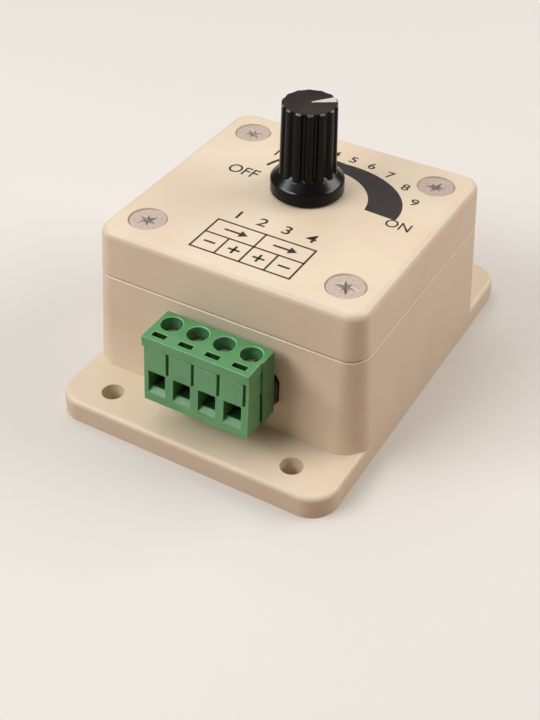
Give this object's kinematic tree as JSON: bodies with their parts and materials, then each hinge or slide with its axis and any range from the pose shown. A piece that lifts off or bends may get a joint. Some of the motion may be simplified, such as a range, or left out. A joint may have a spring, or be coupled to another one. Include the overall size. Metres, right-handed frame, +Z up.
{
  "type": "led dimmer",
  "caption": "Rotary low-voltage lamp dimmer in a screwed plastic box with mounting ears, a fluted knob and a green plug-in screw terminal.",
  "frame": {"origin": "middle of the box's underside", "axes": "+X along the terminal face to the right as seen from the terminals, +Y from the terminal face to the rear, +Z up out of the cover"},
  "size_m": [0.054, 0.0754, 0.0495],
  "materials": {
    "ivory_plastic": "moulded, slightly glossy",
    "green_plastic": "moulded, satin",
    "black_plastic": "moulded, glossy",
    "knob_plastic": "moulded, glossy",
    "white_plastic": "matt inlay",
    "nickel_steel": "nickel plated, satin",
    "plated_steel": "zinc plated",
    "tinned_brass": "tin plated",
    "plain_brass": "turned",
    "shaft_aluminium": "turned",
    "board_laminate": "green solder resist",
    "brown_laminate": "pressed laminate",
    "chip_plastic": "moulded, matt",
    "capacitor_aluminium": "drawn can",
    "ceramic_body": "fired, matt"
  },
  "bodies": {
    "housing": {"base_housing": "ivory_plastic", "top_cover": "ivory_plastic", "cover_screws": "nickel_steel", "circuit_board": "board_laminate", "board_screws": "nickel_steel", "header_housing": "black_plastic", "header_pins": "tinned_brass", "pot_wafer": "brown_laminate", "pot_lugs": "tinned_brass", "pot_can": "plated_steel", "pot_bushing": "plain_brass", "power_transistors": "chip_plastic", "transistor_tabs": "tinned_brass", "control_chip": "chip_plastic", "control_chip_legs": "tinned_brass", "voltage_regulator": "chip_plastic", "protection_diode": "chip_plastic", "filter_capacitor": "capacitor_aluminium", "ceramic_capacitors": "ceramic_body", "chip_resistors": "chip_plastic"},
    "control_knob": {"knob": "knob_plastic", "knob_pointer": "white_plastic", "pot_shaft": "shaft_aluminium", "pot_rotor": "black_plastic"},
    "terminal_plug": {"plug_body": "green_plastic", "plug_front_frame": "green_plastic", "plug_contacts": "tinned_brass"},
    "screw_1": {"clamp_screw_1": "nickel_steel"},
    "cage_1": {"clamp_cage_1": "plated_steel"},
    "screw_2": {"clamp_screw_2": "nickel_steel"},
    "cage_2": {"clamp_cage_2": "plated_steel"},
    "screw_3": {"clamp_screw_3": "nickel_steel"},
    "cage_3": {"clamp_cage_3": "plated_steel"},
    "screw_4": {"clamp_screw_4": "nickel_steel"},
    "cage_4": {"clamp_cage_4": "plated_steel"}
  },
  "joints": [
    {"name": "knob_turn", "type": "hinge", "parent": "housing", "child": "control_knob", "pos_m": [-0.0002, 0.00465, 0.0325], "axis": [0, 0, -1], "range_deg": [-197.5, 102.5]},
    {"name": "plug_slide", "type": "slide", "parent": "housing", "child": "terminal_plug", "axis": [0, -1, 0], "range_m": [0, 0.02]},
    {"name": "clamp_cage_1_lift", "type": "slide", "parent": "terminal_plug", "child": "cage_1", "axis": [0, 0, 1], "range_m": [0, 0.0022]},
    {"name": "clamp_screw_1_turn", "type": "hinge", "parent": "terminal_plug", "child": "screw_1", "pos_m": [-0.00632, -0.0299, 0.0204], "axis": [0, 0, -1], "range_deg": [0, 1585]},
    {"name": "clamp_cage_2_lift", "type": "slide", "parent": "terminal_plug", "child": "cage_2", "axis": [0, 0, 1], "range_m": [0, 0.0022]},
    {"name": "clamp_screw_2_turn", "type": "hinge", "parent": "terminal_plug", "child": "screw_2", "pos_m": [-0.00124, -0.0299, 0.0204], "axis": [0, 0, -1], "range_deg": [0, 1585]},
    {"name": "clamp_cage_3_lift", "type": "slide", "parent": "terminal_plug", "child": "cage_3", "axis": [0, 0, 1], "range_m": [0, 0.0022]},
    {"name": "clamp_screw_3_turn", "type": "hinge", "parent": "terminal_plug", "child": "screw_3", "pos_m": [0.00384, -0.0299, 0.0204], "axis": [0, 0, -1], "range_deg": [0, 1585]},
    {"name": "clamp_cage_4_lift", "type": "slide", "parent": "terminal_plug", "child": "cage_4", "axis": [0, 0, 1], "range_m": [0, 0.0022]},
    {"name": "clamp_screw_4_turn", "type": "hinge", "parent": "terminal_plug", "child": "screw_4", "pos_m": [0.00892, -0.0299, 0.0204], "axis": [0, 0, -1], "range_deg": [0, 1585]}
  ],
  "couplings": [
    {"joint": "clamp_screw_1_turn", "follows": "clamp_cage_1_lift", "rad_per_m": 12566},
    {"joint": "clamp_screw_2_turn", "follows": "clamp_cage_2_lift", "rad_per_m": 12566},
    {"joint": "clamp_screw_3_turn", "follows": "clamp_cage_3_lift", "rad_per_m": 12566},
    {"joint": "clamp_screw_4_turn", "follows": "clamp_cage_4_lift", "rad_per_m": 12566}
  ]
}
